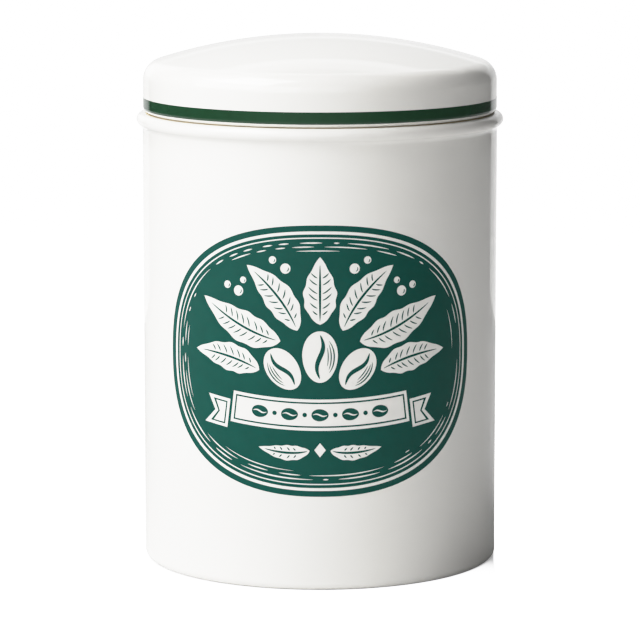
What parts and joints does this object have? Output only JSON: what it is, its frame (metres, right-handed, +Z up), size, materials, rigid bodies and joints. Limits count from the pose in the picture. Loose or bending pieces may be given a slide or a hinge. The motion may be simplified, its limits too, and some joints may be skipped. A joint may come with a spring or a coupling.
{
  "type": "coffee canister",
  "caption": "Glazed ceramic coffee canister with straight sides, a rolled mouth and a lift-off domed lid that carries a silicone sealing ring.",
  "frame": {"origin": "centre of the foot ring, on the surface that the canister stands on", "axes": "+Z up through the mouth and the middle of the lid, -Y out of the decorated front, +X to the right of someone facing the front"},
  "size_m": [0.124, 0.124, 0.1784],
  "materials": {
    "white_glaze": "gloss",
    "silicone": "satin",
    "green_enamel": "gloss",
    "bare_clay": "matte"
  },
  "bodies": {
    "canister": {"canister_body": "white_glaze"},
    "seal": {"sealing_ring": "silicone"},
    "lid": {"lid": "white_glaze"}
  },
  "joints": [
    {"name": "lid_lift", "type": "slide", "parent": "canister", "child": "seal", "axis": [0, 0, 1], "range_m": [0, 0.1]},
    {"name": "lid_turn", "type": "hinge", "parent": "seal", "child": "lid", "pos_m": [0, 0, 0.1526], "axis": [0, 0, 1], "continuous": true}
  ]
}
